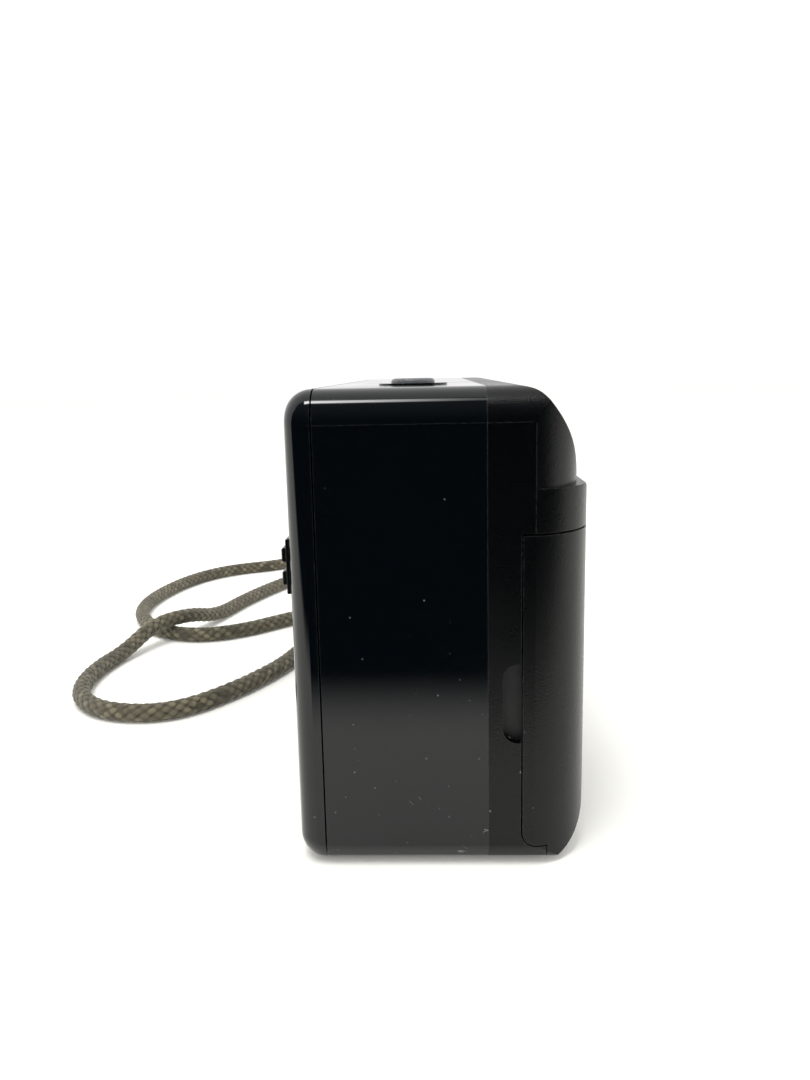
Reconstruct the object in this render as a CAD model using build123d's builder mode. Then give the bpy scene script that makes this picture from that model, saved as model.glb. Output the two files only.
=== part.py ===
"""Compact 35 mm film camera with a wrist cord, built as separate pieces.

Millimetres.  The origin is the mouth of the tripod socket in the base plane.
+X runs along the body towards the cord end, the grip end is at -X.
-Y is the front (lens) side, +Y the back door, +Z is up.
"""
from build123d import *
import math
import os

os.makedirs("parts", exist_ok=True)

# ---------------------------------------------------------------- driving dimensions
grip_x = -60.0                  # end face on the grip side
far_x = 62.0                    # end face on the cord side
height = 66.0
back_y = 16.5                   # outer face of the back door
door_seam_y = 12.5              # joint between back door and casing
cover_seam_y = -10.0            # joint between glossy casing and matte front cover
face_y = -16.5                  # main front face
grip_y = -24.1                  # front of the grip
crease_y = -16.25               # edge where the flat end face turns into the grip
wall = 1.5
seam_gap = 0.22                 # line between pieces that part from each other
length = far_x - grip_x
middle_x = (grip_x + far_x) / 2

base_radius = 4.0               # corners of the casing outline, in the XZ plane
grip_shoulder = 4.6
far_shoulder = 6.0
rear_radius = 3.6               # round of the back door's rear edges
heel_radius = 8.0               # round under the grip, in the YZ plane
end_recess_depth = 0.12         # the flat of the end face lies this far under its surround
screw_places = ((-50, 6), (-12, -7), (30, -7), (55, 6))

band_bottom = 47.0              # fixed band above the battery door
band_top = 52.8
dome_y = -22.65                 # front of the dome where it leaves the band

lens_x, lens_z = 15.0, 33.0     # optical axis, along Y
film_y = 11.1                   # film plane
gate_width, gate_height = 36.0, 24.0
cassette_x, cassette_y = 46.6, -0.6
cassette_radius = 13.0
takeup_x, takeup_y = -20.8, 3.0
takeup_radius = 10.5
running = 0.05                  # radial clearance of a shaft in its hole

button_x, button_y = -36.0, -0.1
latch_x, latch_z = -53.7, 42.3  # back door latch slider
battery_hinge = (-24.5, -21.5)  # vertical axis of the battery door
back_hinge = (62.6, 12.6)       # vertical axis of the back door
cord_radius = 1.84


# ---------------------------------------------------------------- shared outlines
def rounded_face(corners, radii):
    """Face inside a closed outline, with one radius for each corner."""
    with BuildSketch() as face:
        with BuildLine():
            FilletPolyline(*corners, radius=radii, close=True)
        make_face()
    return face.sketch


def casing_face(inset):
    """Outline of the casing seen from the front, moved inwards by inset."""
    corners = [
        (grip_x + inset, inset),
        (far_x - inset, inset),
        (far_x - inset, height - inset),
        (grip_x + inset, height - inset),
    ]
    radii = [base_radius - inset, base_radius - inset, far_shoulder - inset, grip_shoulder - inset]
    return rounded_face(corners, radii)


def cover_plan(inset, seam_y):
    """Plan of the front cover from the seam to the grip front, moved inwards by inset."""
    left = grip_x + inset
    right = far_x - inset
    front = face_y + inset
    grip_front = grip_y + inset
    with BuildSketch() as face:
        with BuildLine():
            side = Polyline((right, seam_y), (left, seam_y), (left, crease_y + inset * 0.4))
            corner = ThreePointArc(
                side @ 1,
                (left + 2.9, crease_y - 5.25 + inset * 0.6),
                (left + 9.0, grip_front),
            )
            flat = Line(corner @ 1, (-26.0 - inset, grip_front))
            step = Spline(flat @ 1, (-17.0 - inset, front), tangents=[(1, 0), (1, 0)])
            brow = Line(step @ 1, (right - 5.0, front))
            turn = TangentArc(brow @ 1, (right, front + 5.0), tangent=(1, 0))
            Line(turn @ 1, side @ 0)
        make_face()
    return face.sketch


def cover_envelope(inset, seam_y):
    """Side profile that shapes the grip: base round, band, step and dome."""
    with BuildSketch() as face:
        with BuildLine():
            toe = Polyline((seam_y, inset), (grip_y + heel_radius, inset))
            heel = TangentArc(toe @ 1, (grip_y + inset, heel_radius), tangent=(-1, 0))
            front = Polyline(
                heel @ 1,
                (grip_y + inset, band_top - 0.7),
                (grip_y + inset + 0.5, band_top),
                (dome_y + inset, band_top),
            )
            dome = Spline(
                front @ 1,
                (-21.9 + inset * 0.95, 57.5 - inset * 0.3),
                (-20.3 + inset * 0.8, 61.1 - inset * 0.7),
                (-18.0 + inset * 0.5, 64.2 - inset * 0.9),
                (-13.0, height - inset),
                tangents=[(0.1, 1), (1, 0)],
            )
            roof = Line(dome @ 1, (seam_y, height - inset))
            Line(roof @ 1, toe @ 0)
        make_face()
    return face.sketch


def gear_face(teeth, module, turn):
    """Spur gear outline: straight-sided teeth on a disc, first tooth at angle turn."""
    pitch_radius = teeth * module / 2
    root = pitch_radius - 1.2 * module
    tip = pitch_radius + 0.85 * module
    half_root = 0.95 * module
    half_tip = 0.36 * module
    with BuildSketch() as face:
        Circle(root)
        for number in range(teeth):
            with Locations(Rotation(0, 0, turn + number * 360 / teeth)):
                Polygon(
                    (root - 0.2, -half_root),
                    (tip, -half_tip),
                    (tip, half_tip),
                    (root - 0.2, half_root),
                    align=None,
                )
    return face.sketch


casing_outer = casing_face(0)
casing_inner = casing_face(wall)
plan_outer = cover_plan(0, cover_seam_y)
plan_inner = cover_plan(wall, cover_seam_y + 1)
envelope_outer = cover_envelope(0, cover_seam_y + 2)
envelope_inner = cover_envelope(wall, cover_seam_y + 1)
door_inner = casing_face(wall + 0.6)
box_limit = casing_face(wall + 0.05)

# shallow recess that leaves a crisp line round the flat of the end face, a helper volume
recess_top = height - grip_shoulder
with BuildPart() as end_recess:
    with Locations((grip_x - 1.0, crease_y, -1.0)):
        Box(1.0 + end_recess_depth, 14.4 - crease_y, recess_top + 1.0, align=(Align.MIN,) * 3)

# ---------------------------------------------------------------- casing
with BuildPart() as body_shell:
    with BuildSketch(Plane.XZ.offset(-door_seam_y)):
        add(casing_outer)
    extrude(amount=door_seam_y - cover_seam_y)
    with BuildSketch(Plane.XZ.offset(-door_seam_y)):
        add(casing_inner)
    extrude(amount=door_seam_y - cover_seam_y, mode=Mode.SUBTRACT)
    # well and step for the shutter button and its ring
    with Locations((button_x, button_y, height)):
        Hole(radius=4.45, depth=wall + 1)
        Hole(radius=5.25, depth=0.9)
    # counter window and the two small buttons on the top plate
    with Locations((4.0, 1.0, height)):
        Box(14.2, 8.2, 2 * wall + 2, mode=Mode.SUBTRACT)
    with Locations((-8.0, 1.0, height)):
        Hole(radius=2.3, depth=wall + 1)
    # tripod socket hole, rewind button hole
    with Locations((0, 0, wall)):
        Hole(radius=3.6, depth=wall + 1)
    with Locations((20.0, 4.0, wall)):
        Hole(radius=1.3, depth=wall + 1)
    # holes for the lug's legs in the far end
    for lug_z in (16.0, 24.0):
        with Locations(Location((far_x, 2.0, lug_z), (0, 90, 0))):
            Hole(radius=1.0, depth=wall + 1)
    # screw holes in the base, with countersinks
    for screw_x, screw_y in screw_places:
        with Locations(Location((screw_x, screw_y, 0), (180, 0, 0))):
            CounterSinkHole(radius=0.85, counter_sink_radius=1.65, depth=wall + 1)
    add(end_recess.part, mode=Mode.SUBTRACT)
    # room for the door's knuckle, then the casing's own two knuckles
    with Locations((*back_hinge, 33.0)):
        Cylinder(2.0, 38.4, mode=Mode.SUBTRACT)
    for knuckle_z in (10.0, 56.0):
        with Locations((*back_hinge, knuckle_z)):
            Cylinder(1.7, 7.6)
    with Locations((*back_hinge, 33.0)):
        Cylinder(0.75, height, mode=Mode.SUBTRACT)
body_shell.part.label = "body_shell"
export_step(body_shell.part, "parts/body_shell.step")

with BuildPart() as back_door:
    with BuildSketch(Plane.XZ.offset(-back_y)):
        add(casing_outer)
    extrude(amount=back_y - door_seam_y - seam_gap)
    fillet(back_door.faces().sort_by(Axis.Y)[-1].edges(), rear_radius)
    add(end_recess.part, mode=Mode.SUBTRACT)
    with BuildSketch(Plane.XZ.offset(-back_y + wall)):
        add(door_inner)
    extrude(amount=back_y, mode=Mode.SUBTRACT)
    # eyepiece opening and film window
    with Locations((lens_x, back_y, 58.0)):
        Box(14.6, 8.0, 9.2, mode=Mode.SUBTRACT)
    with Locations((cassette_x - 2, back_y, 33.0)):
        Box(7.0, 8.0, 24.0, mode=Mode.SUBTRACT)
    # track of the latch slider
    with Locations((latch_x, back_y, latch_z + 1.0)):
        Box(5.0, 8.0, 8.4, mode=Mode.SUBTRACT)
    # room for the casing's knuckles, then the door's own knuckle
    for knuckle_z in (10.0, 56.0):
        with Locations((*back_hinge, knuckle_z)):
            Cylinder(2.0, 8.4, mode=Mode.SUBTRACT)
    with Locations((*back_hinge, 33.0)):
        Cylinder(1.7, 37.6)
        Cylinder(0.85, height, mode=Mode.SUBTRACT)
back_door.part.label = "back_door"
export_step(back_door.part, "parts/back_door.step")

with BuildPart() as back_door_pin:
    with Locations((*back_hinge, 33.0)):
        Cylinder(0.75, 53.0)
back_door_pin.part.label = "back_door_pin"
export_step(back_door_pin.part, "parts/back_door_pin.step")

# hollow of the front cover, a helper volume
with BuildPart() as cover_core:
    with BuildSketch(Plane.XZ.offset(-cover_seam_y - 1)):
        add(casing_inner)
    extrude(amount=20)
    with BuildSketch():
        add(plan_inner)
    extrude(amount=height, mode=Mode.INTERSECT)
    with BuildSketch(Plane.YZ.offset(grip_x - 1)):
        add(envelope_inner)
    extrude(amount=length + 2, mode=Mode.INTERSECT)

# what the dome leaves outside itself at the grip's corner, so that the band stands proud, a helper volume
with BuildPart() as dome_relief:
    with BuildSketch(Plane.XY.offset(band_top)):
        with BuildLine():
            shoulder = ThreePointArc((grip_x, crease_y), (grip_x + 3.6, -20.9), (grip_x + 9.5, dome_y))
            Polyline(
                shoulder @ 1,
                (grip_x + 9.5, grip_y - 2.0),
                (grip_x - 2.0, grip_y - 2.0),
                (grip_x - 2.0, crease_y),
                shoulder @ 0,
            )
        make_face()
    extrude(amount=height - band_top)

# opening for the battery door, rounded where it meets the fixed foot, a helper volume
opening_x, opening_length = -41.0, 38.6
with BuildPart() as battery_opening:
    with Locations((opening_x, -24.45, 24.9)):
        Box(opening_length, 20.0, 44.2)
    fillet(battery_opening.edges().filter_by(Axis.X).sort_by(
        lambda edge: edge.center().Y - edge.center().Z)[-1], 2.2)
    with Locations((-43.575, -28.0, 1.4)):
        Box(33.25, 20.0, 3.2)

# bosses that hold the two ends of the battery door's pin, a helper volume
boss_top = 4.4                  # top of the lower boss
pin_bottom, pin_top = 3.3, 49.3
with BuildPart() as hinge_bosses:
    with Locations((*battery_hinge, boss_top / 2)):
        Cylinder(2.4, boss_top)
    with Locations((*battery_hinge, 48.75)):
        Cylinder(2.4, 3.5)
    with BuildSketch(Plane.YZ.offset(grip_x - 1)):
        add(envelope_outer)
    extrude(amount=length + 2, mode=Mode.INTERSECT)

panel_y = -22.0                 # front of the raised panel around the lens
panel_x, panel_z = 20.0, 32.0
with BuildPart() as front_cover:
    with BuildSketch(Plane.XZ.offset(-cover_seam_y - 3)):
        add(casing_outer)
    extrude(amount=25)
    with BuildSketch():
        add(plan_outer)
    extrude(amount=height, mode=Mode.INTERSECT)
    with BuildSketch(Plane.YZ.offset(grip_x - 1)):
        add(envelope_outer)
    extrude(amount=length + 2, mode=Mode.INTERSECT)
    add(dome_relief.part, mode=Mode.SUBTRACT)
    with BuildSketch(Plane.XZ.offset(-face_y - 1)):
        with Locations((panel_x, panel_z)):
            RectangleRounded(60.0, 38.0, 6.0)
    extrude(amount=face_y - panel_y + 1)
    fillet(front_cover.faces().filter_by(Axis.Y).sort_by(
        lambda face: abs(face.center().Y - panel_y))[0].edges(), 1.6)
    add(cover_core.part, mode=Mode.SUBTRACT)
    with BuildSketch(Plane.XZ.offset(-face_y - wall - 1)):
        with Locations((panel_x, panel_z)):
            RectangleRounded(57.0, 35.0, 4.5)
    extrude(amount=face_y - panel_y + 1, mode=Mode.SUBTRACT)
    # openings: lens, cover knob slot, viewfinder, focus windows, flash, timer lamp
    with BuildSketch(Plane.XZ.offset(-panel_y - 5)):
        with Locations((lens_x, lens_z)):
            Circle(9.5)
        with Locations((lens_x + 11.0, 18.2)):
            SlotOverall(27.0, 2.4)
    extrude(amount=10, mode=Mode.SUBTRACT)
    with BuildSketch(Plane.XZ.offset(-face_y - 3)):
        with Locations((lens_x, 58.0)):
            Rectangle(13.0, 7.0)
        with Locations((30.0, 58.0)):
            Rectangle(10.0, 7.0)
        with Locations((47.6, 59.4)):
            Rectangle(20.0, 6.4)
        with Locations((0.0, 58.0)):
            Circle(1.6)
    extrude(amount=6, mode=Mode.SUBTRACT)
    add(end_recess.part, mode=Mode.SUBTRACT)
    # battery opening: everything ahead of the door's free edge, with its foot kept
    add(battery_opening.part, mode=Mode.SUBTRACT)
    # fingernail notch at the door's free edge, through the wall
    with BuildSketch(Plane.YZ.offset(grip_x - 1)):
        with Locations((-14.4, 23.7)):
            RectangleRounded(4.8, 11.2, 2.0)
    extrude(amount=wall + 1.1, mode=Mode.SUBTRACT)
    add(hinge_bosses.part)
    with Locations((*battery_hinge, (pin_bottom + pin_top) / 2)):
        Cylinder(0.8, pin_top - pin_bottom + 0.2, mode=Mode.SUBTRACT)
front_cover.part.label = "front_cover"
export_step(front_cover.part, "parts/front_cover.step")

# ---------------------------------------------------------------- battery door and battery
door_top = band_bottom - 0.28
lip_z = 3.0                     # underside of the door beside the fixed foot
# space that the battery door fills, a helper volume
with BuildPart() as door_zone:
    with Locations((grip_x - 0.5, -30.0, lip_z)):
        Box(battery_hinge[0] - grip_x + 0.5, 15.36, door_top - lip_z, align=(Align.MIN,) * 3)
    fillet(door_zone.edges().filter_by(Axis.X).sort_by(
        lambda edge: edge.center().Y - edge.center().Z)[-1], 2.0)
    with Locations((grip_x - 0.5, -30.0, -0.5)):
        Box(32.9, 11.82, 5.6, align=(Align.MIN,) * 3)
    with Locations((*battery_hinge, boss_top / 2)):
        Cylinder(2.65, boss_top + 0.2, mode=Mode.SUBTRACT)

with BuildPart() as battery_door:
    with BuildSketch(Plane.XZ.offset(-cover_seam_y - 3)):
        add(casing_outer)
    extrude(amount=25)
    with BuildSketch():
        add(plan_outer)
    extrude(amount=height, mode=Mode.INTERSECT)
    with BuildSketch(Plane.YZ.offset(grip_x - 1)):
        add(envelope_outer)
    extrude(amount=length + 2, mode=Mode.INTERSECT)
    add(cover_core.part, mode=Mode.SUBTRACT)
    add(door_zone.part, mode=Mode.INTERSECT)
    with Locations((*battery_hinge, (boss_top + 0.1 + door_top) / 2)):
        Cylinder(2.55, door_top - boss_top - 0.1)
    with Locations((*battery_hinge, 25.0)):
        Cylinder(0.82, 60.0, mode=Mode.SUBTRACT)
battery_door.part.label = "battery_door"
export_step(battery_door.part, "parts/battery_door.step")

with BuildPart() as battery_door_pin:
    with Locations((*battery_hinge, (pin_bottom + pin_top) / 2)):
        Cylinder(0.75, pin_top - pin_bottom)
battery_door_pin.part.label = "battery_door_pin"
export_step(battery_door_pin.part, "parts/battery_door_pin.step")

battery_x, battery_y = -41.2, -13.2
cell_radius = 8.3
cell_pitch = 16.8
battery_bottom, battery_top = 3.6, 46.6
with BuildPart() as battery_pack:
    with BuildSketch(Plane.XY.offset(battery_bottom)):
        with Locations((battery_x, battery_y)):
            SlotCenterToCenter(cell_pitch, 2 * cell_radius)
    extrude(amount=battery_top - battery_bottom)
    fillet(battery_pack.edges().group_by(Axis.Z)[0], 1.6)
    fillet(battery_pack.edges().group_by(Axis.Z)[-1], 1.0)
battery_pack.part.label = "battery_pack"
export_step(battery_pack.part, "parts/battery_pack.step")

with BuildPart() as battery_box:
    with BuildSketch(Plane.XY.offset(wall + 0.2)):
        with Locations((battery_x, battery_y)):
            SlotCenterToCenter(cell_pitch, 2 * cell_radius + 1.1)
            SlotCenterToCenter(cell_pitch, 2 * cell_radius + 0.2, mode=Mode.SUBTRACT)
        with Locations((battery_x, battery_y - 10)):
            Rectangle(50, 20, mode=Mode.SUBTRACT)
    extrude(amount=45.3)
    with BuildSketch(Plane.XY.offset(wall + 0.2)):
        with Locations((battery_x, battery_y)):
            SlotCenterToCenter(cell_pitch, 2 * cell_radius + 1.1)
        with Locations((battery_x, battery_y - 12.3)):
            Rectangle(50, 20, mode=Mode.SUBTRACT)
    extrude(amount=0.8)
    with BuildSketch(Plane.XZ.offset(-door_seam_y)):
        add(box_limit)
    extrude(amount=40, mode=Mode.INTERSECT)
    with BuildSketch(Plane.XY.offset(band_bottom)):
        with Locations((battery_x, battery_y)):
            SlotCenterToCenter(cell_pitch, 2 * cell_radius + 1.1)
    extrude(amount=0.8)
    # shield behind the fingernail notch
    with Locations((grip_x + wall + 0.05, -15.3, 16.5)):
        Box(0.45, 4.5, 14.5, align=(Align.MIN,) * 3)
battery_box.part.label = "battery_box"
export_step(battery_box.part, "parts/battery_box.step")

with BuildPart() as battery_contacts:
    for side in (-1, 1):
        with Locations((battery_x + side * cell_pitch / 2, battery_y, 46.8)):
            Box(5.0, 4.0, 0.36)
battery_contacts.part.label = "battery_contacts"
export_step(battery_contacts.part, "parts/battery_contacts.step")

# ---------------------------------------------------------------- back door fittings
with BuildPart() as door_latch:
    with Locations((latch_x, 14.75, latch_z)):
        Box(4.8, 3.7, 6.0)
    with Locations((latch_x, back_y + 0.34, latch_z)):
        Box(5.6, 0.52, 7.6)
    fillet(door_latch.faces().sort_by(Axis.Y)[-1].edges(), 0.2)
    # two finger ridges
    for ridge_z in (latch_z - 1.6, latch_z + 1.6):
        with Locations((latch_x, back_y + 0.8, ridge_z)):
            Box(5.0, 0.9, 1.9)
    fillet(door_latch.faces().sort_by(Axis.Y)[-1].edges() + door_latch.faces().sort_by(Axis.Y)[-2].edges(), 0.4)
door_latch.part.label = "door_latch"
export_step(door_latch.part, "parts/door_latch.step")

with BuildPart() as film_window:
    with Locations((cassette_x - 2, back_y - 0.85, 33.0)):
        Box(6.9, 1.2, 23.9)
film_window.part.label = "film_window"
export_step(film_window.part, "parts/film_window.step")

plate_y = film_y + 0.4          # front of the pressure plate
with BuildPart() as pressure_plate:
    with Locations((lens_x + 0.3, plate_y + 0.4, lens_z)):
        Box(41.0, 0.8, 29.0)
pressure_plate.part.label = "pressure_plate"
export_step(pressure_plate.part, "parts/pressure_plate.step")

with BuildPart() as pressure_spring:
    with BuildSketch(Plane.XY.offset(lens_z - 4)):
        with BuildLine():
            outer = ThreePointArc((lens_x - 12, plate_y + 1.2), (lens_x, 14.98), (lens_x + 12, plate_y + 1.2))
            inner = ThreePointArc((lens_x - 12, plate_y + 0.82), (lens_x, 14.6), (lens_x + 12, plate_y + 0.82))
            Line(outer @ 0, inner @ 0)
            Line(outer @ 1, inner @ 1)
        make_face()
    extrude(amount=8)
pressure_spring.part.label = "pressure_spring"
export_step(pressure_spring.part, "parts/pressure_spring.step")

with BuildPart() as light_seal:
    for seal_z in (3.8, 63.1):
        with Locations((middle_x - 1, 13.9, seal_z)):
            Box(108.0, 2.1, 0.9)
light_seal.part.label = "light_seal"
export_step(light_seal.part, "parts/light_seal.step")

# ---------------------------------------------------------------- film transport
with BuildPart() as film_frame:
    with Locations((12.0, film_y - 1.4, 32.25)):
        Box(49.0, 2.2, 39.5)
    for rail_z in (lens_z - 13.4, lens_z + 13.4):
        with Locations((lens_x, film_y - 0.15, rail_z)):
            Box(39.0, 0.3, 1.6)
    with Locations((lens_x, film_y, lens_z)):
        Box(gate_width, 6.0, gate_height, mode=Mode.SUBTRACT)
    for wheel_z in (17.5, 48.5):
        with Locations((-7.2, film_y, wheel_z)):
            Box(11.4, 6.0, 3.2, mode=Mode.SUBTRACT)
    for ear_z in (13.3, 51.2):
        with Locations((-7.2, 6.3, ear_z)):
            Box(5.0, 4.8, 1.6)
    with Locations((-7.2, 6.6, 32.0)):
        Cylinder(1.2 + running, 60.0, mode=Mode.SUBTRACT)
film_frame.part.label = "film_frame"
export_step(film_frame.part, "parts/film_frame.step")

with BuildPart() as film_sprocket:
    with Locations((-7.2, 6.6, 32.25)):
        Cylinder(1.2, 39.0)
    for wheel_z in (17.5, 48.5):
        with Locations((-7.2, 6.6, wheel_z)):
            Cylinder(4.5, 1.8)
            with PolarLocations(4.8, 6, start_angle=30):
                Box(1.4, 1.2, 1.4)
film_sprocket.part.label = "film_sprocket"
export_step(film_sprocket.part, "parts/film_sprocket.step")

with BuildPart() as cassette_chamber:
    with BuildSketch(Plane.XY.offset(9.8)):
        with Locations((cassette_x, cassette_y)):
            Circle(cassette_radius + 0.7)
        with Locations((cassette_x, 8.6)):
            Rectangle(40, 20, align=(Align.CENTER, Align.MIN), mode=Mode.SUBTRACT)
    extrude(amount=46.2)
    with Locations((cassette_x, cassette_y, 32.9)):
        Cylinder(cassette_radius, 44.8, mode=Mode.SUBTRACT)
    with Locations((cassette_x, cassette_y, 10.0)):
        Cylinder(2.0 + running, 4.0, mode=Mode.SUBTRACT)
cassette_chamber.part.label = "cassette_chamber"
export_step(cassette_chamber.part, "parts/cassette_chamber.step")

with BuildPart() as rewind_fork:
    with Locations((cassette_x, cassette_y, 9.2)):
        Cylinder(2.0, 4.4)
    with Locations((cassette_x, cassette_y, 8.0)):
        Cylinder(3.6, 1.6)
    with Locations((cassette_x, cassette_y, 12.6)):
        Box(3.8, 0.9, 3.0)
rewind_fork.part.label = "rewind_fork"
export_step(rewind_fork.part, "parts/rewind_fork.step")

with BuildPart() as takeup_chamber:
    with BuildSketch(Plane.XY.offset(12.0)):
        with Locations((takeup_x, takeup_y)):
            Circle(takeup_radius + 0.7)
            Circle(takeup_radius, mode=Mode.SUBTRACT)
        with Locations((takeup_x, 1.0)):
            Rectangle(40, 20, align=(Align.CENTER, Align.MIN), mode=Mode.SUBTRACT)
    extrude(amount=42.0)
takeup_chamber.part.label = "takeup_chamber"
export_step(takeup_chamber.part, "parts/takeup_chamber.step")

# gear train: motor pinion, idler and spool gear in mesh
module = 0.5
pinion_teeth, idler_teeth, spool_teeth = 10, 16, 28
gear_bottom, gear_thickness = 4.2, 2.4
motor_x, motor_y = -37.75, 4.2
pinion_reach = (pinion_teeth + idler_teeth) * module / 2 + 0.05
spool_reach = (idler_teeth + spool_teeth) * module / 2 + 0.05
span_x, span_y = takeup_x - motor_x, takeup_y - motor_y
span = math.hypot(span_x, span_y)
along = (pinion_reach ** 2 - spool_reach ** 2 + span ** 2) / (2 * span)
aside = math.sqrt(pinion_reach ** 2 - along ** 2)
idler_x = motor_x + (span_x * along + span_y * aside) / span
idler_y = motor_y + (span_y * along - span_x * aside) / span
to_idler = math.degrees(math.atan2(idler_y - motor_y, idler_x - motor_x))
to_spool = math.degrees(math.atan2(takeup_y - idler_y, takeup_x - idler_x))
pinion_turn = to_idler
idler_turn = to_idler + 180 + 180 / idler_teeth
idler_pitch = 360 / idler_teeth
mesh_share = ((idler_turn - to_spool) / idler_pitch) % 1
spool_turn = to_spool + 180 - (mesh_share + 0.5) * 360 / spool_teeth

with BuildPart() as motor_pinion:
    with BuildSketch(Plane.XY.offset(gear_bottom)):
        with Locations((motor_x, motor_y)):
            add(gear_face(pinion_teeth, module, pinion_turn))
    extrude(amount=gear_thickness)
    with Locations((motor_x, motor_y, 6.6)):
        Cylinder(0.7, 5.2)
motor_pinion.part.label = "motor_pinion"
export_step(motor_pinion.part, "parts/motor_pinion.step")

with BuildPart() as idler_gear:
    with BuildSketch(Plane.XY.offset(gear_bottom)):
        with Locations((idler_x, idler_y)):
            add(gear_face(idler_teeth, module, idler_turn))
    extrude(amount=gear_thickness)
    with Locations((idler_x, idler_y, 6.0)):
        Cylinder(1.0, 7.6)
idler_gear.part.label = "idler_gear"
export_step(idler_gear.part, "parts/idler_gear.step")

with BuildPart() as takeup_spool:
    with BuildSketch(Plane.XY.offset(gear_bottom)):
        with Locations((takeup_x, takeup_y)):
            add(gear_face(spool_teeth, module, spool_turn))
    extrude(amount=gear_thickness)
    with Locations((takeup_x, takeup_y, 7.6)):
        Cylinder(1.5, 11.0)
    with Locations((takeup_x, takeup_y, 33.0)):
        Cylinder(6.0, 41.0)
    for flange_z in (13.0, 53.0):
        with Locations((takeup_x, takeup_y, flange_z)):
            Cylinder(7.3, 1.0)
    # film claw slot in the core
    with Locations((takeup_x, takeup_y + 6.0, 33.0)):
        Box(3.0, 2.4, 22.0, mode=Mode.SUBTRACT)
takeup_spool.part.label = "takeup_spool"
export_step(takeup_spool.part, "parts/takeup_spool.step")

with BuildPart() as gear_plate:
    with Locations((-27.25, 3.5, 8.1)):
        Box(34.5, 15.4, 1.2)
    for hole_x, hole_y, hole_radius in (
        (takeup_x, takeup_y, 1.5 + running),
        (idler_x, idler_y, 1.0 + running),
        (motor_x, motor_y, 1.6),
    ):
        with Locations((hole_x, hole_y, 8.1)):
            Cylinder(hole_radius, 4.0, mode=Mode.SUBTRACT)
gear_plate.part.label = "gear_plate"
export_step(gear_plate.part, "parts/gear_plate.step")

with BuildPart() as wind_motor:
    with Locations((motor_x, motor_y, 8.7)):
        Cylinder(5.5, 29.0, align=(Align.CENTER, Align.CENTER, Align.MIN))
    with Locations((motor_x, motor_y, 8.7)):
        Cylinder(0.75, 1.0, mode=Mode.SUBTRACT)
wind_motor.part.label = "wind_motor"
export_step(wind_motor.part, "parts/wind_motor.step")

# ---------------------------------------------------------------- lens and shutter
lens_plane = Plane(origin=(lens_x, 0, lens_z), x_dir=(1, 0, 0), z_dir=(0, 0, 1))
lens_axis = Axis((lens_x, 0, lens_z), (0, 1, 0))
barrel_radius = 12.5

with BuildPart() as light_box:
    with BuildSketch(Plane.XZ.offset(2.5)):
        with Locations((lens_x, lens_z)):
            Rectangle(22.4, 20.4)
    with BuildSketch(Plane.XZ.offset(-8.6)):
        with Locations((lens_x, lens_z)):
            Rectangle(38.4, 26.4)
    loft()
    with BuildSketch(Plane.XZ.offset(2.5)):
        with Locations((lens_x, lens_z)):
            Rectangle(20.0, 18.0)
    with BuildSketch(Plane.XZ.offset(-8.6)):
        with Locations((lens_x, lens_z)):
            Rectangle(gate_width, gate_height)
    loft(mode=Mode.SUBTRACT)
light_box.part.label = "light_box"
export_step(light_box.part, "parts/light_box.step")

with BuildPart() as lens_mount:
    with BuildSketch(lens_plane):
        with BuildLine():
            Polyline(
                (barrel_radius + 0.06, -16.0), (14.5, -16.0), (14.5, -4.5), (17.0, -4.5),
                (17.0, -2.5), (9.0, -2.5), (9.0, -4.5), (barrel_radius + 0.06, -4.5), close=True,
            )
        make_face()
    revolve(axis=lens_axis)
lens_mount.part.label = "lens_mount"
export_step(lens_mount.part, "parts/lens_mount.step")

shutter_pivot_z = 8.5
with BuildPart() as lens_barrel:
    with BuildSketch(lens_plane):
        with BuildLine():
            Polyline(
                (barrel_radius, -17.2), (barrel_radius, -4.7), (7.2, -4.7), (7.2, -9.0),
                (5.5, -9.0), (5.5, -10.7), (11.4, -10.7), (11.4, -12.9), (5.5, -12.9),
                (5.5, -13.6), (8.1, -13.6), (8.1, -17.2), close=True,
            )
        make_face()
    revolve(axis=lens_axis)
    for side in (-1, 1):
        with Locations(Location((lens_x + side, -11.8, lens_z + shutter_pivot_z), (90, 0, 0))):
            Cylinder(0.45, 2.4)
lens_barrel.part.label = "lens_barrel"
export_step(lens_barrel.part, "parts/lens_barrel.step")



def lens_face(rim, front_pole, front_rim, back_rim, back_pole):
    """Half section of a lens with two spherical faces centred on the axis."""
    with BuildSketch() as face:
        with BuildLine():
            ThreePointArc((-rim, front_rim), (0, front_pole), (rim, front_rim))
            Line((rim, front_rim), (rim, back_rim))
            ThreePointArc((rim, back_rim), (0, back_pole), (-rim, back_rim))
            Line((-rim, back_rim), (-rim, front_rim))
        make_face()
        Rectangle(rim, 60, align=(Align.MIN, Align.CENTER), mode=Mode.INTERSECT)
    return face.sketch


front_lens_face = lens_face(8.1, -16.7, -15.1, -13.7, -14.5)
rear_lens_face = lens_face(7.2, -8.4, -7.6, -6.2, -5.1)

with BuildPart() as front_element:
    with BuildSketch(lens_plane):
        add(front_lens_face)
    revolve(axis=lens_axis)
front_element.part.label = "front_element"
export_step(front_element.part, "parts/front_element.step")

with BuildPart() as rear_element:
    with BuildSketch(lens_plane):
        add(rear_lens_face)
    revolve(axis=lens_axis)
rear_element.part.label = "rear_element"
export_step(rear_element.part, "parts/rear_element.step")


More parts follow.
